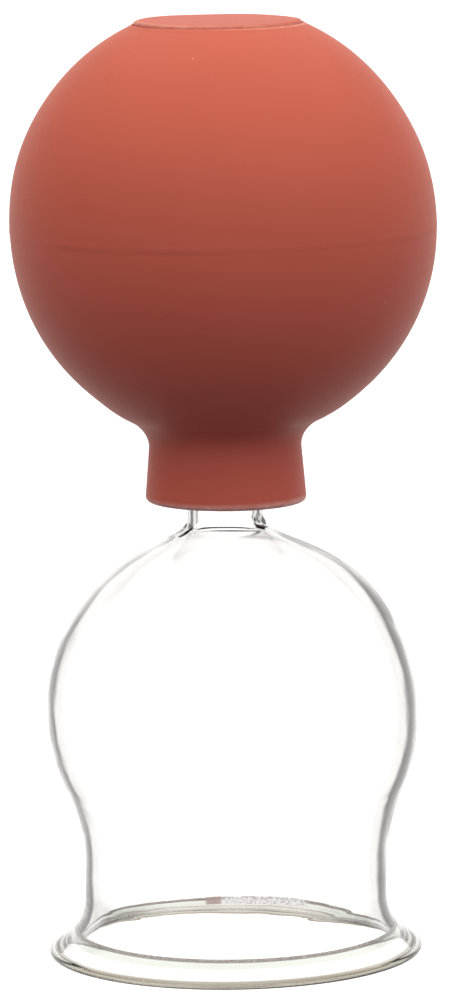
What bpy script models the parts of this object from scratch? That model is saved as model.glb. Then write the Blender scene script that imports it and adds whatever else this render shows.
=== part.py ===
"""A suction cupping cup: a blown glass bell, its tube neck, and a hollow rubber ball pushed onto the neck.

Every piece is turned about the Z axis. The mouth of the bell stands on z = 0 and the ball is on top.
Outlines are lists of (radius, height) points in metres. Each one runs down the outer side of its
piece, along the bottom and up the inner side.
"""

import math

import bmesh
import bpy

# Driving sizes, in metres
BALL_RADIUS = 0.0310
BALL_MIDDLE_Z = 0.1070
BALL_UPPER_HEIGHT = 0.0324
RUBBER_WALL = 0.0030
COLLAR_TOP_RADIUS = 0.0111
COLLAR_FOOT_RADIUS = 0.0117
COLLAR_FOOT_Z = 0.0671
COLLAR_FILLET = 0.0045
COLLAR_LIP = 0.0009
SEAT_Z = 0.1363
SEAT_BORE_RADIUS = 0.0100
DISC_RADIUS = 0.0122
DISC_TOP_Z = 0.1374
DISC_EDGE = 0.0003
DISC_SPIGOT_LENGTH = 0.0030

BELL_RADIUS = 0.0272
BELL_MIDDLE_Z = 0.0360
WAIST_RADIUS = 0.0222
WAIST_Z = 0.0130
FLARE_RADIUS = 0.0080
RIM_RADIUS = 0.02745
LIP_RADIUS = 0.0009
LIP_FLAT_INNER_RADIUS = 0.0255
LIP_INNER_CORNER = 0.0003
INNER_FLARE_END_RADIUS = 0.0246
GLASS_WALL = 0.0014

NECK_RADIUS = 0.00545
NECK_TIP_RADIUS = 0.00515
NECK_WALL = 0.00135
NECK_TOP_Z = 0.0810
NECK_TIP_ROUND = 0.0006
NECK_FOOT_FILLET = 0.0012
WELD_Z = 0.0645
STUB_INNER_CORNER = 0.0008

GAP = 0.0003

# How finely the round shapes are divided
TURN_STEPS = 40
SMALL_TURN_STEPS = 32
LONG_ARC_STEPS = 8
ARC_STEPS = 4
SHORT_ARC_STEPS = 3

RIGHT_ANGLE = math.pi / 2.0
SMOOTH_ANGLE = math.radians(40.0)
MERGE_DISTANCE = 1.0e-6

RUBBER_COLOUR = (0.52, 0.11, 0.07, 1.0)
DISC_COLOUR = (0.60, 0.16, 0.10, 1.0)
GLASS_COLOUR = (0.93, 0.95, 0.93, 1.0)
RUBBER_ROUGHNESS = 0.75
GLASS_ROUGHNESS = 0.05


def clear_scene():
    for scene_object in list(bpy.data.objects):
        bpy.data.objects.remove(scene_object, do_unlink=True)


def make_material(name, colour, roughness, transmission=0.0):
    material = bpy.data.materials.new(name)
    material.use_nodes = True
    shader = material.node_tree.nodes["Principled BSDF"]
    shader.inputs["Base Color"].default_value = colour
    shader.inputs["Roughness"].default_value = roughness
    shader.inputs["Metallic"].default_value = 0.0
    shader.inputs["Transmission Weight"].default_value = transmission
    material.diffuse_color = colour
    return material


def arc(centre, radius, start, end, steps, height_scale=1.0):
    """Points on an arc in the (radius, height) plane. Angle 0 points outward and a right angle up."""
    points = []
    for step in range(steps + 1):
        angle = start + (end - start) * step / steps
        across = centre[0] + radius * math.cos(angle)
        up = centre[1] + radius * height_scale * math.sin(angle)
        points.append((across, up))
    return points


def turned(name, outline, material, steps):
    """A closed solid turned about Z from an outline. Outlines that touch the axis close there."""
    shape = bmesh.new()
    corners = [shape.verts.new((across, 0.0, up)) for across, up in outline]
    edges = []
    for first, second in zip(corners, corners[1:]):
        edges.append(shape.edges.new((first, second)))
    if outline[0][0] > 0.0:
        edges.append(shape.edges.new((corners[-1], corners[0])))
    bmesh.ops.spin(
        shape,
        geom=corners + edges,
        cent=(0.0, 0.0, 0.0),
        axis=(0.0, 0.0, 1.0),
        angle=2.0 * math.pi,
        steps=steps,
        use_merge=True,
    )
    bmesh.ops.remove_doubles(shape, verts=shape.verts[:], dist=MERGE_DISTANCE)
    bmesh.ops.recalc_face_normals(shape, faces=shape.faces[:])
    mesh = bpy.data.meshes.new(name)
    shape.to_mesh(mesh)
    shape.free()
    mesh.shade_smooth()
    mesh.set_sharp_from_angle(angle=SMOOTH_ANGLE)
    mesh.materials.append(material)
    solid = bpy.data.objects.new(name, mesh)
    bpy.context.collection.objects.link(solid)
    return solid


def make_pivot(name, height):
    """An empty on a joint's axis. What moves with the joint is its child."""
    pivot = bpy.data.objects.new(name, None)
    pivot.location = (0.0, 0.0, height)
    bpy.context.collection.objects.link(pivot)
    return pivot


def hang_on(pivot, pivot_height, child, child_height=0.0):
    """Parents the child to the pivot and keeps its place in the world."""
    child.parent = pivot
    child.location = (0.0, 0.0, child_height - pivot_height)


def stub_fillet():
    """Outer fillet between the dome and the short stub that the neck is welded to."""
    centre_radius = NECK_RADIUS + NECK_FOOT_FILLET
    reach = BELL_RADIUS + NECK_FOOT_FILLET
    rise = math.sqrt(reach**2 - centre_radius**2)
    centre = (centre_radius, BELL_MIDDLE_Z + rise)
    end = math.pi + math.atan2(rise, centre_radius)
    return arc(centre, NECK_FOOT_FILLET, math.pi, end, SHORT_ARC_STEPS)


def dome(radius, start, end):
    return arc((0.0, BELL_MIDDLE_Z), radius, start, end, LONG_ARC_STEPS)


def shoulder_to_waist(offset):
    """Two equal arcs that meet in a smooth S, moved inward by offset."""
    drop = BELL_MIDDLE_Z - WAIST_Z
    step_in = BELL_RADIUS - WAIST_RADIUS
    turn = 2.0 * math.atan(step_in / drop)
    radius = drop / (2.0 * math.sin(turn))
    upper_centre = (BELL_RADIUS - radius, BELL_MIDDLE_Z)
    lower_centre = (WAIST_RADIUS + radius, WAIST_Z)
    upper = arc(upper_centre, radius - offset, 0.0, -turn, ARC_STEPS)
    lower = arc(lower_centre, radius + offset, math.pi - turn, math.pi, ARC_STEPS)
    return upper[1:] + lower[1:]


def flare_centre():
    """Centre of the flare's arc, which runs from the waist and is tangent to the lip's round edge."""
    centre_radius = WAIST_RADIUS + FLARE_RADIUS
    lip_centre_radius = RIM_RADIUS - LIP_RADIUS
    reach = FLARE_RADIUS + LIP_RADIUS
    rise = math.sqrt(reach**2 - (centre_radius - lip_centre_radius) ** 2)
    return centre_radius, LIP_RADIUS + rise


def bell_outline():
    foot = stub_fillet()
    dome_start = math.atan2(foot[-1][1] - BELL_MIDDLE_Z, foot[-1][0])
    centre = flare_centre()
    lip_centre = (RIM_RADIUS - LIP_RADIUS, LIP_RADIUS)
    flare_turn = math.atan2(centre[1] - lip_centre[1], centre[0] - lip_centre[0])
    inner_reach = FLARE_RADIUS + GLASS_WALL
    inner_end = math.acos((centre[0] - INNER_FLARE_END_RADIUS) / inner_reach)
    bore_radius = NECK_RADIUS - NECK_WALL
    inner_radius = BELL_RADIUS - GLASS_WALL
    corner_radius = bore_radius + STUB_INNER_CORNER
    inner_start = math.acos(corner_radius / inner_radius)
    corner_z = BELL_MIDDLE_Z + inner_radius * math.sin(inner_start) + STUB_INNER_CORNER

    points = [(NECK_RADIUS, WELD_Z)]
    points += foot
    points += dome(BELL_RADIUS, dome_start, 0.0)[1:]
    points += shoulder_to_waist(0.0)
    points += arc(centre, FLARE_RADIUS, math.pi, math.pi + flare_turn, ARC_STEPS)
    points += arc(lip_centre, LIP_RADIUS, flare_turn, -RIGHT_ANGLE, ARC_STEPS)[1:]
    points.append((LIP_FLAT_INNER_RADIUS, 0.0))
    points.append((LIP_FLAT_INNER_RADIUS - LIP_INNER_CORNER, LIP_INNER_CORNER))
    points += arc(centre, inner_reach, math.pi + inner_end, math.pi, ARC_STEPS)
    points += list(reversed(shoulder_to_waist(GLASS_WALL)))
    points += dome(inner_radius, 0.0, inner_start)
    points.append((bore_radius, corner_z))
    points.append((bore_radius, WELD_Z))
    return points


def neck_outline():
    bore_radius = NECK_RADIUS - NECK_WALL
    tip_bore_radius = NECK_TIP_RADIUS - NECK_WALL
    foot_z = WELD_Z + GAP
    round_z = NECK_TOP_Z - NECK_TIP_ROUND
    outer_tip = (NECK_TIP_RADIUS - NECK_TIP_ROUND, round_z)
    inner_tip = (tip_bore_radius + NECK_TIP_ROUND, round_z)
    points = arc(outer_tip, NECK_TIP_ROUND, RIGHT_ANGLE, 0.0, SHORT_ARC_STEPS)
    points.append((NECK_RADIUS, COLLAR_FOOT_Z))
    points.append((NECK_RADIUS, foot_z))
    points.append((bore_radius, foot_z))
    points.append((bore_radius, COLLAR_FOOT_Z))
    points += arc(inner_tip, NECK_TIP_ROUND, math.pi, RIGHT_ANGLE, SHORT_ARC_STEPS)
    return points


def collar_bore_radius(height):
    """The socket narrows upward with the neck and stays a gap away from it."""
    share = (height - COLLAR_FOOT_Z) / (NECK_TOP_Z - COLLAR_FOOT_Z)
    return NECK_RADIUS + GAP + (NECK_TIP_RADIUS - NECK_RADIUS) * share


def lower_half_outline():
    middle = (0.0, BALL_MIDDLE_Z)
    inner_radius = BALL_RADIUS - RUBBER_WALL
    centre_radius = COLLAR_TOP_RADIUS + COLLAR_FILLET
    reach = BALL_RADIUS + COLLAR_FILLET
    fall = math.sqrt(reach**2 - centre_radius**2)
    fillet_centre = (centre_radius, BALL_MIDDLE_Z - fall)
    fillet_start = math.atan2(fall, -centre_radius)
    ball_end = -math.atan2(fall, centre_radius)
    top_angle = -math.asin(GAP / 2.0 / BALL_RADIUS)
    inner_top_angle = -math.asin(GAP / 2.0 / inner_radius)
    bore_top_radius = collar_bore_radius(BALL_MIDDLE_Z - inner_radius)
    bore_end = -math.acos(bore_top_radius / inner_radius)
    lip_centre = (COLLAR_FOOT_RADIUS - COLLAR_LIP, COLLAR_FOOT_Z + COLLAR_LIP)

    points = arc(middle, BALL_RADIUS, top_angle, ball_end, LONG_ARC_STEPS)
    points += arc(fillet_centre, COLLAR_FILLET, fillet_start, math.pi, SHORT_ARC_STEPS)[1:]
    points += arc(lip_centre, COLLAR_LIP, 0.0, -RIGHT_ANGLE, SHORT_ARC_STEPS)
    points.append((collar_bore_radius(COLLAR_FOOT_Z), COLLAR_FOOT_Z))
    points += arc(middle, inner_radius, bore_end, inner_top_angle, LONG_ARC_STEPS)
    return points


def upper_half_outline():
    middle = (0.0, BALL_MIDDLE_Z)
    inner_radius = BALL_RADIUS - RUBBER_WALL
    outer_scale = BALL_UPPER_HEIGHT / BALL_RADIUS
    inner_scale = (BALL_UPPER_HEIGHT - RUBBER_WALL) / inner_radius
    seat_angle = math.asin((SEAT_Z - BALL_MIDDLE_Z) / BALL_UPPER_HEIGHT)
    bore_angle = math.acos(SEAT_BORE_RADIUS / inner_radius)
    low_angle = math.asin(GAP / 2.0 / BALL_UPPER_HEIGHT)
    inner_low_angle = math.asin(GAP / 2.0 / (inner_radius * inner_scale))

    points = arc(middle, BALL_RADIUS, seat_angle, low_angle, LONG_ARC_STEPS, outer_scale)
    points += arc(middle, inner_radius, inner_low_angle, bore_angle, LONG_ARC_STEPS, inner_scale)
    points.append((SEAT_BORE_RADIUS, SEAT_Z))
    return points


def disc_outline():
    """A cap that stands on the ball's flat seat, with a spigot that fills the opening below it."""
    cap_foot_z = SEAT_Z + GAP
    edge_centre = (DISC_RADIUS - DISC_EDGE, DISC_TOP_Z - DISC_EDGE)
    spigot_radius = SEAT_BORE_RADIUS - GAP
    points = [(0.0, DISC_TOP_Z)]
    points += arc(edge_centre, DISC_EDGE, RIGHT_ANGLE, 0.0, SHORT_ARC_STEPS)
    points.append((DISC_RADIUS, cap_foot_z))
    points.append((spigot_radius, cap_foot_z))
    points.append((spigot_radius, cap_foot_z - DISC_SPIGOT_LENGTH))
    points.append((0.0, cap_foot_z - DISC_SPIGOT_LENGTH))
    return points


def build():
    clear_scene()
    glass = make_material("clear_glass", GLASS_COLOUR, GLASS_ROUGHNESS, 1.0)
    rubber = make_material("red_rubber", RUBBER_COLOUR, RUBBER_ROUGHNESS)
    disc_rubber = make_material("disc_rubber", DISC_COLOUR, RUBBER_ROUGHNESS)

    turned("glass_bell", bell_outline(), glass, TURN_STEPS)
    turned("glass_neck", neck_outline(), glass, SMALL_TURN_STEPS)
    lower_half = turned("bulb_lower_half", lower_half_outline(), rubber, TURN_STEPS)
    upper_half = turned("bulb_upper_half", upper_half_outline(), rubber, TURN_STEPS)
    disc = turned("bulb_top_disc", disc_outline(), disc_rubber, TURN_STEPS)

    pull_off = make_pivot("bulb_pull_off_axis", COLLAR_FOOT_Z)
    press = make_pivot("bulb_press_axis", BALL_MIDDLE_Z)
    hang_on(pull_off, COLLAR_FOOT_Z, press, BALL_MIDDLE_Z)
    hang_on(pull_off, COLLAR_FOOT_Z, lower_half)
    hang_on(press, BALL_MIDDLE_Z, upper_half)
    hang_on(press, BALL_MIDDLE_Z, disc)


build()
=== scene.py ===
"""The looks of a suction cupping cup: a blown glass bell with a matte red rubber ball on its neck.

Everything is in metres, with +Z up and the mouth of the bell on z = 0. The turned outlines are lists of
(radius, height) points that run down the outer side, along the bottom and up the inner side.
"""

import math

import bpy
import numpy as np
from mathutils import Euler, Matrix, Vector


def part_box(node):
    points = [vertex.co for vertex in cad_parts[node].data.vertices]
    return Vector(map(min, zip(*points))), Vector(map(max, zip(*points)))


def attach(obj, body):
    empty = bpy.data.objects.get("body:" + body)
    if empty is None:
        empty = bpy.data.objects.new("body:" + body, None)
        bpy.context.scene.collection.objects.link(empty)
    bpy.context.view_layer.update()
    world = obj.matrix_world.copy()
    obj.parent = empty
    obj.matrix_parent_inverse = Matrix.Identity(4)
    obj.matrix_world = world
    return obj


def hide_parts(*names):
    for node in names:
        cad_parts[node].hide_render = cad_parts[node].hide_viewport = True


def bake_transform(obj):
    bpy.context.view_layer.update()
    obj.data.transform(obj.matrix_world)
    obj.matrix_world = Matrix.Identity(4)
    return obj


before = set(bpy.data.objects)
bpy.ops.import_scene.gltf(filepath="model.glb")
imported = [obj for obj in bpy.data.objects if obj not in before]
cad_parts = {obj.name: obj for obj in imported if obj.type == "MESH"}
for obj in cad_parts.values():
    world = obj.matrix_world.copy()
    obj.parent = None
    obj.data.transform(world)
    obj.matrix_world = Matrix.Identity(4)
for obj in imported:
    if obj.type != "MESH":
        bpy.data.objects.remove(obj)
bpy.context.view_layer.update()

BELL_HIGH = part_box("glass_bell")[1]
NECK_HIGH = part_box("glass_neck")[1]
LOWER_LOW, LOWER_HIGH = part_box("bulb_lower_half")
UPPER_LOW, UPPER_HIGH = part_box("bulb_upper_half")
DISC_LOW, DISC_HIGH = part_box("bulb_top_disc")

# Sizes that the frame gives
RIM_RADIUS = BELL_HIGH[0]
WELD_Z = BELL_HIGH[2]
NECK_RADIUS = NECK_HIGH[0]
NECK_TOP_Z = NECK_HIGH[2]
BALL_RADIUS = LOWER_HIGH[0]
BALL_MIDDLE_Z = (LOWER_HIGH[2] + UPPER_LOW[2]) / 2.0
COLLAR_FOOT_Z = LOWER_LOW[2]
SEAT_Z = UPPER_HIGH[2]
DISC_RADIUS = DISC_HIGH[0]
DISC_FOOT_Z = DISC_LOW[2]
DISC_TOP_Z = DISC_HIGH[2]

# The bell and its neck
BELL_RADIUS = 0.0272
BELL_MIDDLE_Z = 0.0360
WAIST_RADIUS = 0.0222
WAIST_Z = 0.0130
FLARE_RADIUS = 0.0080
LIP_RADIUS = 0.0006
LIP_FLAT_INNER_RADIUS = 0.0261
LIP_INNER_ROUND = 0.0005
MOUTH_EDGE_RADIUS = 0.0228
MOUTH_EDGE_Z = 0.0029
MOUTH_EDGE_ROUND = 0.0003
GLASS_WALL = 0.0012
NECK_TIP_RADIUS = 0.00515
NECK_WALL = 0.00135
NECK_TIP_ROUND = 0.0006
NECK_FOOT_FILLET = 0.0010
STUB_INNER_ROUND = NECK_FOOT_FILLET + NECK_WALL
NECK_SHIFT = 0.00045
GLASS_TURNS = 192
GLASS_LONGEST_STRETCH = 0.0004
BLOWN_UNEVENNESS = 0.00004
DOME_TOP_RISE = 0.00095
DOME_SHOULDER_FALL = 0.00030
RIGHT_BEAD = 0.00045
LEFT_BEAD = 0.00035
WAIST_STRAY = 0.00045
DOME_STRAY = 0.00050
INNER_WALL_SHIFT = 0.00022

# Where the glass's unevenness sits: (low, high) of a smooth step, or (middle, reach) of a bump
WALL_RADII = (0.012, 0.020)
WALL_HEIGHTS = (0.0, 0.010)
DOME_HEIGHTS = (0.045, 0.055)
DOME_END_HEIGHTS = (0.0640, 0.0668)
DOME_TOP_BUMP = (0.0045, 0.0030)
DOME_SHOULDER_BUMP = (0.0120, 0.0055)
NECK_SKIN_RADII = (0.0046, 0.0054)
NECK_END_RADII = (0.0070, 0.0085)
BEAD_MIDDLE = 1.0
RIGHT_BEAD_ANGLE = 0.1
RIGHT_BEAD_SPREAD = 0.06
RIGHT_BEAD_BUMP = (0.0632, 0.0006)
LEFT_BEAD_ANGLE = 3.0
LEFT_BEAD_SPREAD = 0.05
LEFT_BEAD_BUMP = (0.0626, 0.0005)
WAIST_STRAY_BUMP = (0.020, 0.014)
DOME_STRAY_BUMP = (0.0545, 0.007)
NECK_LEAN_HEIGHTS = (0.0595, 0.0645)
THICK_WALL_HEIGHTS = (0.003, 0.012)
THICK_WALL_END_HEIGHTS = (0.046, 0.058)

# Waves in the blown wall: lobes round it, the turn they start at, and radians per metre of height
LONG_WAVE_LOBES = 2.0
LONG_WAVE_START = 0.6
LONG_WAVE_RATE = 95.0
SHORT_WAVE_LOBES = 3.0
SHORT_WAVE_START = 1.9
SHORT_WAVE_RATE = 140.0
SHORT_WAVE_SHARE = 0.6

# The ball
BALL_UPPER_HEIGHT = 0.0324
RUBBER_WALL = 0.0030
COLLAR_TOP_RADIUS = 0.0111
COLLAR_FOOT_RADIUS = 0.0117
COLLAR_FILLET = 0.0045
COLLAR_LIP = 0.0007
COLLAR_INNER_LIP = 0.0004
COLLAR_GRIP = 0.00008
SEAT_BORE_RADIUS = 0.0100
RECESS_GAP = 0.00004
RECESS_ROUND = 0.00012
DISC_EDGE = 0.00045
DISC_CROWN = 0.00012
SPIGOT_RADIUS = 0.0097
DISC_CAP = 0.00100
DISC_SIDE_SETBACK = 0.00005
BALL_TURNS = 240
DISC_TURNS = 200
BALL_LONGEST_STRETCH = 0.0009
DISC_LONGEST_STRETCH = 0.0006
OUTER_SKIN_DEPTH = 0.002
SOCKET_TOP_LIMIT_Z = 0.085
PARTING_HALF_WIDTH = 0.00022
PARTING_HEIGHT = 0.00007
PARTING_STEP = -0.00003
PARTING_MEAN = 0.55
PARTING_SWING = 0.45
PARTING_LOBES = 7.0
PARTING_DRIFT = 2.0
PARTING_DRIFT_LOBES = 3.0
BALL_UNEVENNESS = 0.00005
BALL_WAVE_LOBES = 2.0
BALL_WAVE_START = 0.8
BALL_WAVE_RATE = 60.0
BALL_SHOULDER_FULLNESS = 0.00020
BALL_TOP_FULLNESS = 0.00008
FILLET_FULLNESS = 0.00042
COLLAR_FULLNESS = 0.00010
COLLAR_FOOT_SLANT = 0.012
RECESS_RIM_RISE = 0.00010
BALL_LEAN = 0.00008
COLLAR_LEAN = 0.00034
BALL_TOP_LEAN = 0.00040
DISC_UNEVENNESS = 0.00003
DISC_WAVE_LOBES = 5.0
DISC_WAVE_START = 0.7
DISC_SLANT = 0.006
DISC_CROWN_STEPS = 24

# Where the ball's unevenness sits: (low, high) of a smooth step, or (middle, reach) of a bump
BALL_SHOULDER_BUMP = (0.1180, 0.0090)
BALL_TOP_BUMP = (0.1340, 0.0060)
FILLET_BUMP = (0.0795, 0.0022)
COLLAR_END_HEIGHTS = (0.074, 0.080)
COLLAR_FOOT_HEIGHTS = (COLLAR_FOOT_Z, COLLAR_FOOT_Z + 0.006)
RECESS_RIM_BUMP = (DISC_RADIUS + RECESS_GAP, 0.0007)
RECESS_RIM_HEIGHTS = (0.1363, 0.1366)
COLLAR_LEAN_HEIGHTS = (0.0765, 0.0830)
BALL_TOP_LEAN_HEIGHTS = (0.0980, 0.1280)

# The rubber. A range is (low, high, value at low, value at high).
RUBBER_DARK = (0.545, 0.091, 0.057, 1.0)
RUBBER_LIGHT = (0.590, 0.104, 0.067, 1.0)
DUST = (0.80, 0.45, 0.36, 1.0)
# The next colour makes the collar's foot paler and is also a painted highlight along the seam round the
# disc.
PALE_FOOT_AND_HIGHLIGHT = (1.0, 0.55, 0.46, 1.0)
CLOUD_SCALE = 70.0
GRAIN_SCALE = 3500.0
PALE_BREAKUP_SCALE = 600.0
RUBBER_NOISE_DETAIL = 3.0
DUST_CELL_SCALE = 260.0
DUST_SIZE_RANGE = (0.020, 0.045, 1.0, 0.0)
DUST_CHOICE_RANGE = (0.80, 0.95, 0.0, 1.0)
DUST_STRENGTH = 0.55
# Where the collar's foot turns paler, and the band of painted highlight where the disc meets the ball.
PALE_FOOT_RANGE = (COLLAR_FOOT_Z + 0.0001, COLLAR_FOOT_Z + 0.0013, 0.75, 0.0)
SEAM_HIGHLIGHT_BAND = (DISC_RADIUS, 0.0002, 0.0003)
SEAM_HIGHLIGHT_HEIGHT_RANGE = (0.1360, 0.1364, 0.0, 0.28)
PALE_BREAKUP_RANGE = (0.3, 0.7, 0.5, 1.0)
RUBBER_ROUGHNESS_RANGE = (0.3, 0.7, 0.46, 0.58)
RUBBER_BUMP_STRENGTH = 0.25
RUBBER_BUMP_DISTANCE = 0.00006
RUBBER_SETTINGS = {
    "Metallic": 0.0,
    "IOR": 1.45,
    "Specular IOR Level": 0.22,
    "Specular Tint": (1.0, 0.86, 0.72, 1.0),
    "Sheen Weight": 0.10,
    "Sheen Roughness": 0.30,
    "Sheen Tint": (1.0, 0.80, 0.62, 1.0),
}

# The glass. A band is (middle, half width, softness). The shader shows a tint's square root.
CLEAR = (1.0, 1.0, 1.0, 1.0)
# The under and lip colours are painted shade: dark bands that stand for the shade the glass refracts at its
# mouth.
PAINTED_UNDER_SHADE = (0.42, 0.46, 0.40, 1.0)
PAINTED_LIP_SHADE = (0.26, 0.23, 0.17, 1.0)
# The next colour paints a dark line of shade along the mouth's inner edge.
PAINTED_EDGE_SHADE = (0.040, 0.026, 0.021, 1.0)
# A speckled patch and a small dark spot on the far side of the mouth's inner edge.
BACK_PATCH_LIGHT = (0.42, 0.40, 0.41, 1.0)
BACK_PATCH_DARK = (0.13, 0.11, 0.12, 1.0)
BACK_SPOT_DARK = (0.09, 0.045, 0.040, 1.0)
FINE_NOISE_SCALE = 2600.0
EDGE_NOISE_DETAIL = 2.0
EDGE_BREAKUP_RANGE = (0.25, 0.6, 0.90, 1.0)
SPECKLE_DETAIL = 4.0
SPECKLE_RANGE = (0.42, 0.62, 0.0, 1.0)
EDGE_BAND = (MOUTH_EDGE_Z + 0.00016, 0.00020, 0.00014)
UNDER_BAND = (MOUTH_EDGE_Z - 0.0005, 0.0005, 0.0003)
INSIDE_RANGE = (MOUTH_EDGE_RADIUS + 0.0009, MOUTH_EDGE_RADIUS + 0.0013, 1.0, 0.0)
LIP_RADIUS_RANGE = (RIM_RADIUS - 0.0021, RIM_RADIUS - 0.0017, 0.0, 1.0)
LIP_HEIGHT_RANGE = (0.0010, 0.0014, 1.0, 0.0)
FAR_SIDE_RANGE = (0.010, 0.014, 0.0, 1.0)
BACK_MARK_BAND = (MOUTH_EDGE_Z - 0.0002, 0.0006, 0.0003)
BACK_PATCH_ACROSS_BAND = (0.0048, 0.0058, 0.0012)
BACK_SPOT_ACROSS_BAND = (-0.0030, 0.0009, 0.0006)
EDGE_ROUGHNESS = 0.25
GLASS_WAVE_SCALE = 90.0
GLASS_WAVE_DETAIL = 2.0
GLASS_BUMP_STRENGTH = 0.06
GLASS_BUMP_DISTANCE = 0.0010
GLASS_IOR = 1.5
GLASS_DEPTH_COLOUR = (0.60, 0.58, 0.48, 1.0)
GLASS_DEPTH_DENSITY = 25.0

# The stage. Levels are ranges over the height of the direction, where 1 is straight up.
CLIPPED_WHITE = 1.38
STAGE_WHITE = (1.0, 0.985, 0.965, 1.0)
LOW_LIGHT_TINT = (0.90, 1.10, 1.42, 1.0)
HIGH_LIGHT_TINT = (0.97, 1.05, 0.90, 1.0)
LIGHT_TINT_RANGE = (0.20, 0.60, 0.0, 1.0)
AMBIENT_RANGE = (-0.55, -0.40, 0.02, 0.36)
OVERHEAD_RANGE = (0.45, 0.62, 0.0, 1.42)
SIDE_LEVEL_X = 0.17
SIDE_LEVEL_Y = -0.27
SIDE_RANGE = (-0.10, 0.10, 0.0, 1.0)
COVE_RANGE = (0.30, 0.55, 1.20, 0.0)
FLAG_COUNT = 8.0
FLAG_RANGE = (-0.80, 0.80, 0.05, 0.88)
FLAG_TOP_RANGE = (0.10, 0.26, 0.0, 1.20)
STEEP_DOWN_RANGE = (-0.86, -0.74, 1.0, 0.0)
STEEP_DOWN_LEVEL = 1.15
HALF_BOUNCE = 0.5
FLOOR_SIZE = 30.0

# The camera
CAMERA_PLACE = (-0.00028, -0.9394, 0.2060)
CAMERA_PITCH = math.radians(8.41)
CAMERA_ROLL = math.radians(-0.98)
CAMERA_LENS = 234.0
CAMERA_SENSOR = 36.0
CAMERA_FAR_CLIP = 100.0
GLASS_BOUNCES = 24
GLOSSY_BOUNCES = 12

RIGHT_ANGLE = math.pi / 2.0
FULL_TURN = 2.0 * math.pi
SMOOTH_ANGLE = math.radians(50.0)


def arc(centre, radius, start, end, steps, height_scale=1.0):
    """Points on an arc in the (radius, height) plane. Angle 0 points outward and a right angle up.

    height_scale stretches the arc along the height, about its centre.
    """
    points = []
    for step in range(steps + 1):
        angle = start + (end - start) * step / steps
        across = centre[0] + radius * math.cos(angle)
        up = centre[1] + radius * height_scale * math.sin(angle)
        points.append((across, up))
    return points


def divided(points, longest):
    """The same outline with extra points on every stretch that is longer than longest."""
    result = [points[0]]
    for first, second in zip(points, points[1:]):
        length = math.dist(first, second)
        pieces = max(1, math.ceil(length / longest))
        for piece in range(1, pieces + 1):
            share = piece / pieces
            across = first[0] + (second[0] - first[0]) * share
            up = first[1] + (second[1] - first[1]) * share
            result.append((across, up))
    return result


def turned(name, outline, turns, shape, lean):
    """A closed solid turned about Z.

    shape(radius, height, angle) moves the grid's points, and lean(radius, height) gives how far they
    then go along X. An outline whose ends lie on the axis is closed there by a point. Any other is
    closed on itself.
    """
    on_axis = outline[0][0] == 0.0
    ring = np.array(outline[1:-1] if on_axis else outline)
    count = len(ring)
    angle = np.arange(turns)[:, None] * FULL_TURN / turns
    radius = np.tile(ring[:, 0], (turns, 1))
    height = np.tile(ring[:, 1], (turns, 1))
    radius, height = shape(radius, height, angle)
    across = radius * np.cos(angle) + lean(radius, height)
    grid = np.stack([across, radius * np.sin(angle), height], axis=-1)
    points = [tuple(point) for point in grid.reshape(-1, 3)]
    faces = []
    stretches = count - 1 if on_axis else count
    for turn in range(turns):
        here = turn * count
        there = (turn + 1) % turns * count
        for index in range(stretches):
            after = (index + 1) % count
            faces.append((here + index, here + after, there + after, there + index))
    if on_axis:
        top = len(points)
        points.append((0.0, 0.0, outline[0][1]))
        points.append((0.0, 0.0, outline[-1][1]))
        for turn in range(turns):
            here = turn * count
            there = (turn + 1) % turns * count
            faces.append((top, here, there))
            faces.append((top + 1, there + count - 1, here + count - 1))
    mesh = bpy.data.meshes.new(name)
    mesh.from_pydata(points, [], faces)
    mesh.update()
    mesh.shade_smooth()
    mesh.set_sharp_from_angle(angle=SMOOTH_ANGLE)
    piece = bpy.data.objects.new(name, mesh)
    bpy.context.scene.collection.objects.link(piece)
    return piece


def keep_rest_places(piece):
    """Stores each point's place at rest, so that the material keeps to the surface when it bends."""
    mesh = piece.data
    places = np.empty(len(mesh.vertices) * 3, np.float32)
    mesh.vertices.foreach_get("co", places)
    stored = mesh.attributes.new("rest_place", "FLOAT_VECTOR", "POINT")
    stored.data.foreach_set("vector", places)


# ---------------------------------------------------------------- the glass


def stub_fillet(steps):
    """Outer fillet between the dome and the stub that the neck is welded to."""
    centre_radius = NECK_RADIUS + NECK_FOOT_FILLET
    reach = BELL_RADIUS + NECK_FOOT_FILLET
    rise = math.sqrt(reach**2 - centre_radius**2)
    centre = (centre_radius, BELL_MIDDLE_Z + rise)
    end = math.pi + math.atan2(rise, centre_radius)
    return arc(centre, NECK_FOOT_FILLET, math.pi, end, steps)


def shoulder_to_waist(offset, steps):
    """Two equal arcs that meet in a smooth S, moved inward by offset."""
    drop = BELL_MIDDLE_Z - WAIST_Z
    step_in = BELL_RADIUS - WAIST_RADIUS
    turn = 2.0 * math.atan(step_in / drop)
    radius = drop / (2.0 * math.sin(turn))
    upper_centre = (BELL_RADIUS - radius, BELL_MIDDLE_Z)
    lower_centre = (WAIST_RADIUS + radius, WAIST_Z)
    upper = arc(upper_centre, radius - offset, 0.0, -turn, steps)
    lower = arc(lower_centre, radius + offset, math.pi - turn, math.pi, steps)
    return upper[1:] + lower[1:]


def flare_centre():
    """Centre of the flare's arc, which runs from the waist and is tangent to the lip's round edge."""
    centre_radius = WAIST_RADIUS + FLARE_RADIUS
    lip_centre_radius = RIM_RADIUS - LIP_RADIUS
    reach = FLARE_RADIUS + LIP_RADIUS
    rise = math.sqrt(reach**2 - (centre_radius - lip_centre_radius) ** 2)
    return centre_radius, LIP_RADIUS + rise


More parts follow.
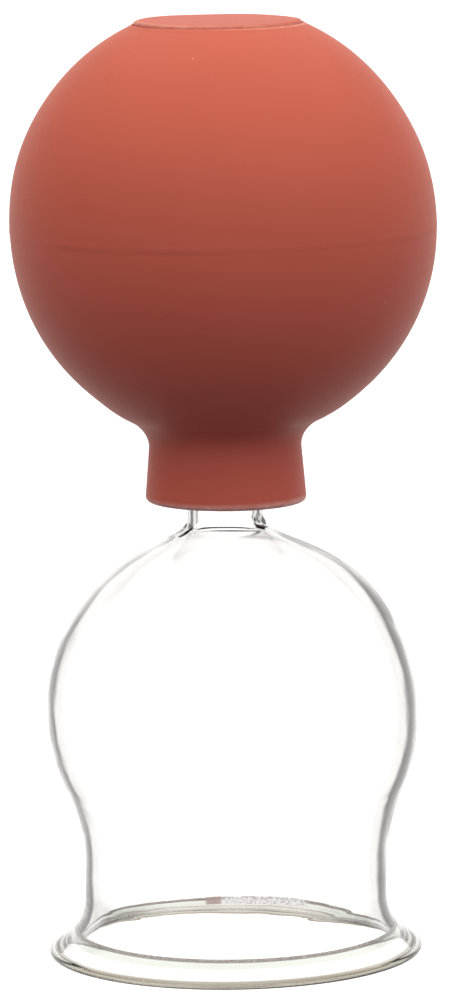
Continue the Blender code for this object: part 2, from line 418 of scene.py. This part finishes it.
def mouth_edge(slope, flare, steps):
    """The edge inside the mouth, rounded between the sloping underside and the flared inner wall."""
    setback = MOUTH_EDGE_ROUND * math.tan((RIGHT_ANGLE - slope - flare) / 2.0)
    across = MOUTH_EDGE_RADIUS + setback * math.cos(slope) + MOUTH_EDGE_ROUND * math.sin(slope)
    up = MOUTH_EDGE_Z - setback * math.sin(slope) + MOUTH_EDGE_ROUND * math.cos(slope)
    start = math.pi + RIGHT_ANGLE - slope
    return arc((across, up), MOUTH_EDGE_ROUND, start, math.pi + flare, steps)


def glass_outline():
    """From the neck's tip down the outside to the lip, and up the inside to the tip again."""
    bore_radius = NECK_RADIUS - NECK_WALL
    tip_bore_radius = NECK_TIP_RADIUS - NECK_WALL
    round_z = NECK_TOP_Z - NECK_TIP_ROUND
    outer_tip = (NECK_TIP_RADIUS - NECK_TIP_ROUND, round_z)
    inner_tip = (tip_bore_radius + NECK_TIP_ROUND, round_z)
    foot = stub_fillet(steps=12)
    dome_start = math.atan2(foot[-1][1] - BELL_MIDDLE_Z, foot[-1][0])
    middle = (0.0, BELL_MIDDLE_Z)
    centre = flare_centre()
    lip_centre = (RIM_RADIUS - LIP_RADIUS, LIP_RADIUS)
    flare_turn = math.atan2(centre[1] - lip_centre[1], centre[0] - lip_centre[0])
    inner_waist = WAIST_RADIUS - GLASS_WALL
    spread = MOUTH_EDGE_RADIUS - inner_waist
    drop = centre[1] - MOUTH_EDGE_Z
    inner_reach = (spread**2 + drop**2) / (2.0 * spread)
    inner_flare_centre = (inner_waist + inner_reach, centre[1])
    inner_end = math.asin(drop / inner_reach)
    inner_lip_centre = (LIP_FLAT_INNER_RADIUS, LIP_INNER_ROUND)
    slope = math.atan2(MOUTH_EDGE_Z, LIP_FLAT_INNER_RADIUS - MOUTH_EDGE_RADIUS)
    inner_radius = BELL_RADIUS - GLASS_WALL
    corner_radius = bore_radius + STUB_INNER_ROUND
    corner_reach = inner_radius + STUB_INNER_ROUND
    corner_rise = math.sqrt(corner_reach**2 - corner_radius**2)
    corner_centre = (corner_radius, BELL_MIDDLE_Z + corner_rise)
    corner_angle = math.atan2(corner_rise, corner_radius)

    points = arc(outer_tip, NECK_TIP_ROUND, RIGHT_ANGLE, 0.0, steps=8)
    points.append((NECK_RADIUS, COLLAR_FOOT_Z))
    points.append((NECK_RADIUS, WELD_Z))
    points += foot
    points += arc(middle, BELL_RADIUS, dome_start, 0.0, steps=110)[1:]
    points += shoulder_to_waist(0.0, steps=40)
    points += arc(centre, FLARE_RADIUS, math.pi, math.pi + flare_turn, steps=36)
    points += arc(lip_centre, LIP_RADIUS, flare_turn, -RIGHT_ANGLE, steps=18)[1:]
    points += arc(inner_lip_centre, LIP_INNER_ROUND, -RIGHT_ANGLE, -RIGHT_ANGLE - slope, steps=6)
    points += mouth_edge(slope, inner_end, steps=8)
    points += arc(inner_flare_centre, inner_reach, math.pi + inner_end, math.pi, steps=24)[1:]
    points += list(reversed(shoulder_to_waist(GLASS_WALL, steps=40)))
    points += arc(middle, inner_radius, 0.0, corner_angle, steps=110)
    points += arc(corner_centre, STUB_INNER_ROUND, corner_angle + math.pi, math.pi, steps=12)[1:]
    points.append((bore_radius, WELD_Z))
    points.append((bore_radius, COLLAR_FOOT_Z))
    points += arc(inner_tip, NECK_TIP_ROUND, math.pi, RIGHT_ANGLE, steps=8)
    return divided(points, GLASS_LONGEST_STRETCH)


def bump_at(value, middle, reach):
    """1 at the middle, falling off smoothly to each side over the reach."""
    return np.exp(-(((value - middle) / reach) ** 2))


def smooth_step(value, low, high):
    """0 below low and 1 above high, with a smooth rise between them."""
    share = np.clip((value - low) / (high - low), 0.0, 1.0)
    return share * share * (3.0 - 2.0 * share)


def hand_blown(radius, height, angle):
    """Small unevenness of glass that was blown, with beads where the neck was welded on."""
    wall = smooth_step(radius, *WALL_RADII) * smooth_step(height, *WALL_HEIGHTS)
    wave = np.cos(LONG_WAVE_LOBES * angle + LONG_WAVE_START) * np.sin(height * LONG_WAVE_RATE)
    short = SHORT_WAVE_SHARE * np.cos(SHORT_WAVE_LOBES * angle + SHORT_WAVE_START)
    wave = wave + short * np.cos(height * SHORT_WAVE_RATE)
    in_dome = smooth_step(height, *DOME_HEIGHTS) * (1.0 - smooth_step(height, *DOME_END_HEIGHTS))
    rise = DOME_TOP_RISE * bump_at(radius, *DOME_TOP_BUMP)
    rise = rise - DOME_SHOULDER_FALL * bump_at(radius, *DOME_SHOULDER_BUMP)
    right_bead = bump_at(np.cos(angle - RIGHT_BEAD_ANGLE), BEAD_MIDDLE, RIGHT_BEAD_SPREAD)
    right_bead = right_bead * bump_at(height, *RIGHT_BEAD_BUMP)
    left_bead = bump_at(np.cos(angle - LEFT_BEAD_ANGLE), BEAD_MIDDLE, LEFT_BEAD_SPREAD)
    left_bead = left_bead * bump_at(height, *LEFT_BEAD_BUMP)
    on_neck = smooth_step(radius, *NECK_SKIN_RADII) * (1.0 - smooth_step(radius, *NECK_END_RADII))
    beads = on_neck * (RIGHT_BEAD * right_bead + LEFT_BEAD * left_bead)
    return radius + wall * BLOWN_UNEVENNESS * wave + beads, height + in_dome * rise


def glass_lean(radius, height):
    """How far the glass strays sideways. Its wall is thicker on the +X side, and its neck leans to -X."""
    stray = WAIST_STRAY * bump_at(height, *WAIST_STRAY_BUMP)
    stray = stray + DOME_STRAY * bump_at(height, *DOME_STRAY_BUMP)
    to_neck = smooth_step(height, *NECK_LEAN_HEIGHTS)
    inner = np.arange(height.shape[1]) > np.argmin(height[0])
    thicker_right = smooth_step(height, *THICK_WALL_HEIGHTS)
    thicker_right = thicker_right * (1.0 - smooth_step(height, *THICK_WALL_END_HEIGHTS))
    stray = stray - np.where(inner, INNER_WALL_SHIFT * thicker_right, 0.0)
    return stray * (1.0 - to_neck) - NECK_SHIFT * to_neck


def make_glass():
    piece = turned("blown_glass_bell_and_neck", glass_outline(), GLASS_TURNS, hand_blown, glass_lean)
    piece.data.materials.append(glass_material())
    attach(piece, "cup")
    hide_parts("glass_bell", "glass_neck")


# ---------------------------------------------------------------- the ball


def neck_radius_at(height):
    """The neck tapers from the collar's foot to its tip."""
    share = (height - COLLAR_FOOT_Z) / (NECK_TOP_Z - COLLAR_FOOT_Z)
    return NECK_RADIUS + (NECK_TIP_RADIUS - NECK_RADIUS) * share


def ball_outline():
    """From the seat on top down the outside to the collar, and up the socket and the inside to the seat."""
    middle = (0.0, BALL_MIDDLE_Z)
    inner_radius = BALL_RADIUS - RUBBER_WALL
    outer_scale = BALL_UPPER_HEIGHT / BALL_RADIUS
    inner_scale = (BALL_UPPER_HEIGHT - RUBBER_WALL) / inner_radius
    recess_radius = DISC_RADIUS + RECESS_GAP
    rim_angle = math.acos((recess_radius + RECESS_ROUND) / BALL_RADIUS)
    rim_z = BALL_MIDDLE_Z + BALL_UPPER_HEIGHT * math.sin(rim_angle)
    rim_centre = (recess_radius + RECESS_ROUND, rim_z - RECESS_ROUND)
    centre_radius = COLLAR_TOP_RADIUS + COLLAR_FILLET
    reach = BALL_RADIUS + COLLAR_FILLET
    fall = math.sqrt(reach**2 - centre_radius**2)
    fillet_centre = (centre_radius, BALL_MIDDLE_Z - fall)
    fillet_start = math.atan2(fall, -centre_radius)
    ball_end = -math.atan2(fall, centre_radius)
    lip_centre = (COLLAR_FOOT_RADIUS - COLLAR_LIP, COLLAR_FOOT_Z + COLLAR_LIP)
    socket_foot = neck_radius_at(COLLAR_FOOT_Z) + COLLAR_GRIP
    inner_lip_centre = (socket_foot + COLLAR_INNER_LIP, COLLAR_FOOT_Z + COLLAR_INNER_LIP)
    socket_top_z = BALL_MIDDLE_Z - math.sqrt(inner_radius**2 - NECK_RADIUS**2)
    socket_top = neck_radius_at(socket_top_z) + COLLAR_GRIP
    socket_angle = -math.acos(socket_top / inner_radius)
    bore_angle = math.acos(SEAT_BORE_RADIUS / inner_radius)

    points = [(SEAT_BORE_RADIUS, SEAT_Z)]
    points.append((recess_radius, SEAT_Z))
    points += arc(rim_centre, RECESS_ROUND, math.pi, RIGHT_ANGLE, steps=4)
    points += arc(middle, BALL_RADIUS, rim_angle, 0.0, steps=70, height_scale=outer_scale)[1:]
    points += arc(middle, BALL_RADIUS, 0.0, ball_end, steps=90)[1:]
    points += arc(fillet_centre, COLLAR_FILLET, fillet_start, math.pi, steps=16)[1:]
    points += arc(lip_centre, COLLAR_LIP, 0.0, -RIGHT_ANGLE, steps=10)
    points += arc(inner_lip_centre, COLLAR_INNER_LIP, -RIGHT_ANGLE, -math.pi, steps=5)
    points += arc(middle, inner_radius, socket_angle, 0.0, steps=40)
    points += arc(middle, inner_radius, 0.0, bore_angle, steps=40, height_scale=inner_scale)[1:]
    return divided(points, BALL_LONGEST_STRETCH)


def moulded(radius, height, angle):
    """The mould's parting line, the fuller parts of a soft ball, and a soft rim round the disc."""
    outer = radius > neck_radius_at(height) + OUTER_SKIN_DEPTH
    from_middle = (height - BALL_MIDDLE_Z) / PARTING_HALF_WIDTH
    drift = PARTING_DRIFT * np.sin(angle * PARTING_DRIFT_LOBES)
    broken = PARTING_MEAN + PARTING_SWING * np.sin(angle * PARTING_LOBES + drift)
    ridge = np.exp(-(from_middle**2)) * broken * PARTING_HEIGHT
    step = np.where(height < BALL_MIDDLE_Z, PARTING_STEP, 0.0)
    uneven = BALL_UNEVENNESS * np.cos(BALL_WAVE_LOBES * angle + BALL_WAVE_START)
    uneven = uneven * np.sin((height - BALL_MIDDLE_Z) * BALL_WAVE_RATE)
    full = BALL_SHOULDER_FULLNESS * bump_at(height, *BALL_SHOULDER_BUMP)
    full = full + BALL_TOP_FULLNESS * bump_at(height, *BALL_TOP_BUMP)
    full = full + FILLET_FULLNESS * bump_at(height, *FILLET_BUMP)
    full = full + COLLAR_FULLNESS * (1.0 - smooth_step(height, *COLLAR_END_HEIGHTS))
    radius = radius + np.where(outer, ridge + step + uneven + full, 0.0)
    foot = 1.0 - smooth_step(height, *COLLAR_FOOT_HEIGHTS)
    height = height - np.where(outer, foot * radius * np.cos(angle) * COLLAR_FOOT_SLANT, 0.0)
    near_disc = bump_at(radius, *RECESS_RIM_BUMP) * smooth_step(height, *RECESS_RIM_HEIGHTS)
    return radius, height + RECESS_RIM_RISE * near_disc


def ball_lean(radius, height):
    """The collar follows the neck, which stands a little to one side, and the ball's top sags over."""
    near_neck = radius < neck_radius_at(height) + OUTER_SKIN_DEPTH
    in_socket = near_neck & (height < SOCKET_TOP_LIMIT_Z)
    collar = 1.0 - smooth_step(height, *COLLAR_LEAN_HEIGHTS)
    top = smooth_step(height, *BALL_TOP_LEAN_HEIGHTS)
    lean = BALL_LEAN - COLLAR_LEAN * collar - BALL_TOP_LEAN * top
    return np.where(in_socket, -NECK_SHIFT, lean)


def make_ball():
    piece = turned("rubber_ball_with_collar", ball_outline(), BALL_TURNS, moulded, ball_lean)
    keep_rest_places(piece)
    piece.data.materials.append(rubber_material("red_rubber_ball"))
    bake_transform(piece)
    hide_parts("bulb_lower_half", "bulb_upper_half")


def disc_outline():
    """A slightly crowned cap with a rounded edge, on a spigot that fills the ball's opening."""
    cap_foot_z = DISC_TOP_Z - DISC_CAP
    edge_top_z = DISC_TOP_Z - DISC_CROWN
    edge_centre = (DISC_RADIUS - DISC_EDGE, edge_top_z - DISC_EDGE)
    points = [(0.0, DISC_TOP_Z)]
    for step in range(1, DISC_CROWN_STEPS):
        share = step / DISC_CROWN_STEPS
        points.append((edge_centre[0] * share, DISC_TOP_Z - DISC_CROWN * share**2))
    points += arc(edge_centre, DISC_EDGE, RIGHT_ANGLE, 0.0, steps=8)
    points.append((DISC_RADIUS - DISC_SIDE_SETBACK, cap_foot_z))
    points.append((SPIGOT_RADIUS, cap_foot_z))
    points.append((SPIGOT_RADIUS, DISC_FOOT_Z))
    points.append((0.0, DISC_FOOT_Z))
    return divided(points[:-1], DISC_LONGEST_STRETCH) + [points[-1]]


def tilted_disc(radius, height, angle):
    """The disc sits a trace lower on the +X side, and its edge is not quite even."""
    uneven = DISC_UNEVENNESS * np.cos(DISC_WAVE_LOBES * angle + DISC_WAVE_START)
    uneven = uneven * (radius / DISC_RADIUS)
    cap = height > SEAT_Z
    return radius, height + np.where(cap, uneven - radius * np.cos(angle) * DISC_SLANT, 0.0)


def make_disc():
    piece = turned("rubber_closing_disc", disc_outline(), DISC_TURNS, tilted_disc, ball_lean)
    keep_rest_places(piece)
    piece.data.materials.append(rubber_material("red_rubber_disc"))
    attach(piece, "bulb_top")
    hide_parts("bulb_top_disc")


# ---------------------------------------------------------------- materials


def new_node(tree, kind, **settings):
    made = tree.nodes.new(kind)
    for key, value in settings.items():
        setattr(made, key, value)
    return made


def plug(tree, value, socket):
    """Links the socket to value if that is a socket too, and sets the socket to it otherwise."""
    if isinstance(value, bpy.types.NodeSocket):
        tree.links.new(value, socket)
    else:
        socket.default_value = value


def calculate(tree, operation, first, second=0.0, third=0.0):
    """A Math node. Each operand is a socket or a number."""
    made = new_node(tree, "ShaderNodeMath", operation=operation)
    for index, operand in enumerate((first, second, third)):
        plug(tree, operand, made.inputs[index])
    return made.outputs[0]


def product(tree, first, *others):
    """The factors multiplied in turn."""
    result = first
    for other in others:
        result = calculate(tree, "MULTIPLY", result, other)
    return result


def smooth_range(tree, value, low, high, out_low, out_high):
    """out_low up to low and out_high from high on, with a smooth change between them."""
    made = new_node(tree, "ShaderNodeMapRange", interpolation_type="SMOOTHSTEP")
    tree.links.new(value, made.inputs["Value"])
    made.inputs["From Min"].default_value = low
    made.inputs["From Max"].default_value = high
    made.inputs["To Min"].default_value = out_low
    made.inputs["To Max"].default_value = out_high
    return made.outputs["Result"]


def band(tree, value, middle, half_width, softness):
    """1 within half_width of the middle, falling to 0 over the softness."""
    away = calculate(tree, "ABSOLUTE", calculate(tree, "SUBTRACT", value, middle))
    return smooth_range(tree, away, half_width, half_width + softness, 1.0, 0.0)


def noise_value(tree, places, scale, detail):
    made = new_node(tree, "ShaderNodeTexNoise")
    tree.links.new(places, made.inputs["Vector"])
    made.inputs["Scale"].default_value = scale
    made.inputs["Detail"].default_value = detail
    return made.outputs["Fac"]


def mix_colour(tree, factor, first, second):
    """first where the factor is 0 and second where it is 1. Both are sockets or colours."""
    made = new_node(tree, "ShaderNodeMix", data_type="RGBA")
    tree.links.new(factor, made.inputs["Factor"])
    for name, colour in (("A", first), ("B", second)):
        socket = [one for one in made.inputs if one.name == name and one.type == "RGBA"][0]
        plug(tree, colour, socket)
    return [one for one in made.outputs if one.type == "RGBA"][0]


def place_values(tree, places):
    """X, Y and Z of the places, and their distance from the axis."""
    split = new_node(tree, "ShaderNodeSeparateXYZ")
    tree.links.new(places, split.inputs["Vector"])
    flat = new_node(tree, "ShaderNodeCombineXYZ")
    tree.links.new(split.outputs["X"], flat.inputs["X"])
    tree.links.new(split.outputs["Y"], flat.inputs["Y"])
    length = new_node(tree, "ShaderNodeVectorMath", operation="LENGTH")
    tree.links.new(flat.outputs["Vector"], length.inputs[0])
    return split.outputs["X"], split.outputs["Y"], split.outputs["Z"], length.outputs["Value"]


def add_bump(tree, shader, relief, strength, distance):
    """Fine relief in the shading alone. The mesh keeps its shape."""
    bump = new_node(tree, "ShaderNodeBump")
    bump.inputs["Strength"].default_value = strength
    bump.inputs["Distance"].default_value = distance
    tree.links.new(relief, bump.inputs["Height"])
    tree.links.new(bump.outputs["Normal"], shader.inputs["Normal"])


def dust_specks(tree, places):
    """A small round speck in the middle of a few of the cells."""
    cells = new_node(tree, "ShaderNodeTexVoronoi", feature="F1")
    tree.links.new(places, cells.inputs["Vector"])
    cells.inputs["Scale"].default_value = DUST_CELL_SCALE
    near = smooth_range(tree, cells.outputs["Distance"], *DUST_SIZE_RANGE)
    split = new_node(tree, "ShaderNodeSeparateColor")
    tree.links.new(cells.outputs["Color"], split.inputs["Color"])
    chosen = smooth_range(tree, split.outputs["Red"], *DUST_CHOICE_RANGE)
    return product(tree, near, chosen, DUST_STRENGTH)


def rubber_material(name):
    """Matte moulded rubber: clouding, dust, a powdery grain, a paler collar foot and a painted highlight
    along the seam round the disc.
    """
    material = bpy.data.materials.new(name)
    material.use_nodes = True
    tree = material.node_tree
    shader = tree.nodes["Principled BSDF"]
    places = new_node(tree, "ShaderNodeAttribute", attribute_name="rest_place").outputs["Vector"]
    height, radius = place_values(tree, places)[2:]

    clouds = noise_value(tree, places, CLOUD_SCALE, RUBBER_NOISE_DETAIL)
    colour = mix_colour(tree, clouds, RUBBER_DARK, RUBBER_LIGHT)
    colour = mix_colour(tree, dust_specks(tree, places), colour, DUST)

    # A paler collar foot, and a painted highlight along the seam where the disc meets the ball, both broken
    # up by noise.
    foot = smooth_range(tree, height, *PALE_FOOT_RANGE)
    at_seam = smooth_range(tree, height, *SEAM_HIGHLIGHT_HEIGHT_RANGE)
    seam_highlight = product(tree, band(tree, radius, *SEAM_HIGHLIGHT_BAND), at_seam)
    pale_breakup = noise_value(tree, places, PALE_BREAKUP_SCALE, RUBBER_NOISE_DETAIL)
    pale_breakup = smooth_range(tree, pale_breakup, *PALE_BREAKUP_RANGE)
    pale_foot_and_highlight = product(tree, calculate(tree, "MAXIMUM", foot, seam_highlight), pale_breakup)
    colour = mix_colour(tree, pale_foot_and_highlight, colour, PALE_FOOT_AND_HIGHLIGHT)
    tree.links.new(colour, shader.inputs["Base Color"])

    grain = noise_value(tree, places, GRAIN_SCALE, RUBBER_NOISE_DETAIL)
    rough = smooth_range(tree, grain, *RUBBER_ROUGHNESS_RANGE)
    tree.links.new(rough, shader.inputs["Roughness"])
    add_bump(tree, shader, grain, RUBBER_BUMP_STRENGTH, RUBBER_BUMP_DISTANCE)
    for socket_name, value in RUBBER_SETTINGS.items():
        shader.inputs[socket_name].default_value = value
    return material


def glass_material():
    """Clear glass, a little wavy, with painted shade round the lip and under the mouth's edge, a dark
    painted shade line along the mouth's inner edge, and a speckled patch and a small dark spot on the far
    side.
    """
    material = bpy.data.materials.new("blown_clear_glass")
    material.use_nodes = True
    tree = material.node_tree
    shader = tree.nodes["Principled BSDF"]
    shader.inputs["IOR"].default_value = GLASS_IOR
    shader.inputs["Transmission Weight"].default_value = 1.0
    places = new_node(tree, "ShaderNodeTexCoord").outputs["Object"]
    across, along, height, radius = place_values(tree, places)

    inside = smooth_range(tree, radius, *INSIDE_RANGE)
    # A dark line of painted shade along the mouth's inner edge, broken up by fine noise. The edge is also a
    # little rough.
    edge_breakup = noise_value(tree, places, FINE_NOISE_SCALE, EDGE_NOISE_DETAIL)
    edge_breakup = smooth_range(tree, edge_breakup, *EDGE_BREAKUP_RANGE)
    edge = product(tree, band(tree, height, *EDGE_BAND), inside, edge_breakup)
    # Painted shade: a dark olive band round the lip and a grey-green band under the mouth's edge, standing
    # for shade refracted in the glass.
    low = smooth_range(tree, height, *LIP_HEIGHT_RANGE)
    lip = product(tree, smooth_range(tree, radius, *LIP_RADIUS_RANGE), low)
    under = product(tree, band(tree, height, *UNDER_BAND), inside)
    colour = mix_colour(tree, under, CLEAR, PAINTED_UNDER_SHADE)
    colour = mix_colour(tree, lip, colour, PAINTED_LIP_SHADE)
    colour = mix_colour(tree, edge, colour, PAINTED_EDGE_SHADE)

    # A speckled patch and a small dark spot on the far side of the mouth's inner edge.
    far_side = smooth_range(tree, along, *FAR_SIDE_RANGE)
    back_mark = product(tree, far_side, inside, band(tree, height, *BACK_MARK_BAND))
    speckle = noise_value(tree, places, FINE_NOISE_SCALE, SPECKLE_DETAIL)
    speckle = smooth_range(tree, speckle, *SPECKLE_RANGE)
    back_patch_colour = mix_colour(tree, speckle, BACK_PATCH_LIGHT, BACK_PATCH_DARK)
    patch = product(tree, back_mark, band(tree, across, *BACK_PATCH_ACROSS_BAND))
    colour = mix_colour(tree, patch, colour, back_patch_colour)
    back_spot = product(tree, back_mark, band(tree, across, *BACK_SPOT_ACROSS_BAND))
    colour = mix_colour(tree, back_spot, colour, BACK_SPOT_DARK)
    tree.links.new(colour, shader.inputs["Base Color"])
    tree.links.new(product(tree, edge, EDGE_ROUGHNESS), shader.inputs["Roughness"])

    waves = noise_value(tree, places, GLASS_WAVE_SCALE, GLASS_WAVE_DETAIL)
    add_bump(tree, shader, waves, GLASS_BUMP_STRENGTH, GLASS_BUMP_DISTANCE)
    depth = new_node(tree, "ShaderNodeVolumeAbsorption")
    depth.inputs["Color"].default_value = GLASS_DEPTH_COLOUR
    depth.inputs["Density"].default_value = GLASS_DEPTH_DENSITY
    tree.links.new(depth.outputs["Volume"], tree.nodes["Material Output"].inputs["Volume"])
    return material


# ---------------------------------------------------------------- stage


def ray_kinds(tree):
    """Masks for rays that saw the stage straight or through glass, were turned in glass, or glanced off."""
    path = new_node(tree, "ShaderNodeLightPath")
    no_gloss = calculate(tree, "LESS_THAN", path.outputs["Glossy Depth"], HALF_BOUNCE)
    no_diffuse = calculate(tree, "LESS_THAN", path.outputs["Diffuse Depth"], HALF_BOUNCE)
    outside = calculate(tree, "LESS_THAN", path.outputs["Transmission Depth"], HALF_BOUNCE)
    through = product(tree, path.outputs["Is Transmission Ray"], no_gloss, no_diffuse)
    seen = calculate(tree, "MAXIMUM", path.outputs["Is Camera Ray"], through)
    turned_in = calculate(tree, "SUBTRACT", 1.0, calculate(tree, "MAXIMUM", no_gloss, outside))
    turned_in = product(tree, turned_in, no_diffuse)
    glanced = product(tree, path.outputs["Is Glossy Ray"], outside, no_diffuse)
    return seen, turned_in, glanced


def choose(tree, factor, first, second):
    """first where the factor is 0 and second where it is 1. Both are sockets or numbers."""
    made = new_node(tree, "ShaderNodeMix", data_type="FLOAT")
    tree.links.new(factor, made.inputs[0])
    plug(tree, first, made.inputs[2])
    plug(tree, second, made.inputs[3])
    return made.outputs[0]


def cove_light(tree, right, ahead, up, turned_in, glanced):
    """The light's level: overhead for matt surfaces, a white cove for glances, flags inside the glass."""
    ambient = smooth_range(tree, up, *AMBIENT_RANGE)
    overhead = smooth_range(tree, up, *OVERHEAD_RANGE)
    aside = calculate(tree, "MULTIPLY", ahead, SIDE_LEVEL_Y)
    aside = calculate(tree, "MULTIPLY_ADD", right, SIDE_LEVEL_X, aside)
    aside = product(tree, aside, smooth_range(tree, up, *SIDE_RANGE))
    light = calculate(tree, "ADD", calculate(tree, "ADD", ambient, overhead), aside)

    cove = calculate(tree, "MAXIMUM", light, smooth_range(tree, up, *COVE_RANGE))
    light = choose(tree, glanced, light, cove)

    azimuth = calculate(tree, "ARCTAN2", right, ahead)
    flags = calculate(tree, "COSINE", product(tree, azimuth, FLAG_COUNT))
    flags = smooth_range(tree, flags, *FLAG_RANGE)
    flags = calculate(tree, "MAXIMUM", flags, smooth_range(tree, up, *FLAG_TOP_RANGE))
    flags = choose(tree, smooth_range(tree, up, *STEEP_DOWN_RANGE), flags, STEEP_DOWN_LEVEL)
    return choose(tree, turned_in, light, flags)


def make_world():
    """A clipped white where the stage is seen, and the cove's light for everything else."""
    world = bpy.data.worlds.new("studio_cove")
    bpy.context.scene.world = world
    world.use_nodes = True
    tree = world.node_tree
    tree.nodes.clear()
    seen, turned_in, glanced = ray_kinds(tree)
    split = new_node(tree, "ShaderNodeSeparateXYZ")
    tree.links.new(new_node(tree, "ShaderNodeTexCoord").outputs["Generated"], split.inputs["Vector"])
    right, ahead, up = split.outputs["X"], split.outputs["Y"], split.outputs["Z"]
    light = cove_light(tree, right, ahead, up, turned_in, glanced)

    special = calculate(tree, "MAXIMUM", calculate(tree, "MAXIMUM", seen, turned_in), glanced)
    tint = mix_colour(tree, smooth_range(tree, up, *LIGHT_TINT_RANGE), LOW_LIGHT_TINT, HIGH_LIGHT_TINT)
    tint = mix_colour(tree, special, tint, STAGE_WHITE)
    background = new_node(tree, "ShaderNodeBackground")
    tree.links.new(tint, background.inputs["Color"])
    tree.links.new(choose(tree, seen, light, CLIPPED_WHITE), background.inputs["Strength"])
    output = new_node(tree, "ShaderNodeOutputWorld")
    tree.links.new(background.outputs[0], output.inputs["Surface"])


def make_floor():
    """A white floor that is lit until it clips. Only rays that see it straight or through glass meet it."""
    mesh = bpy.data.meshes.new("floor")
    half = FLOOR_SIZE / 2.0
    corners = [(-half, -half, 0.0), (half, -half, 0.0), (half, half, 0.0), (-half, half, 0.0)]
    mesh.from_pydata(corners, [], [(0, 1, 2, 3)])
    floor = bpy.data.objects.new("floor", mesh)
    bpy.context.scene.collection.objects.link(floor)
    material = bpy.data.materials.new("floor_white")
    material.use_nodes = True
    tree = material.node_tree
    tree.nodes.clear()
    seen = ray_kinds(tree)[0]
    white = new_node(tree, "ShaderNodeEmission")
    white.inputs["Color"].default_value = STAGE_WHITE
    white.inputs["Strength"].default_value = CLIPPED_WHITE
    clear = new_node(tree, "ShaderNodeBsdfTransparent")
    mix = new_node(tree, "ShaderNodeMixShader")
    tree.links.new(seen, mix.inputs["Fac"])
    tree.links.new(clear.outputs[0], mix.inputs[1])
    tree.links.new(white.outputs[0], mix.inputs[2])
    output = new_node(tree, "ShaderNodeOutputMaterial")
    tree.links.new(mix.outputs[0], output.inputs["Surface"])
    mesh.materials.append(material)


def make_camera():
    data = bpy.data.cameras.new("camera")
    data.lens = CAMERA_LENS
    data.sensor_width = CAMERA_SENSOR
    data.clip_end = CAMERA_FAR_CLIP
    camera = bpy.data.objects.new("camera", data)
    bpy.context.scene.collection.objects.link(camera)
    tilt = Euler((RIGHT_ANGLE - CAMERA_PITCH, 0.0, 0.0)).to_matrix()
    camera.rotation_euler = (tilt @ Matrix.Rotation(CAMERA_ROLL, 3, "Z")).to_euler()
    camera.location = CAMERA_PLACE
    bpy.context.scene.camera = camera


def set_render_look():
    scene = bpy.context.scene
    scene.view_settings.view_transform = "Standard"
    scene.view_settings.look = "None"
    scene.cycles.max_bounces = GLASS_BOUNCES
    scene.cycles.transmission_bounces = GLASS_BOUNCES
    scene.cycles.glossy_bounces = GLOSSY_BOUNCES
    scene.cycles.use_denoising = True


make_camera()
make_world()
make_floor()
make_glass()
make_ball()
make_disc()
set_render_look()
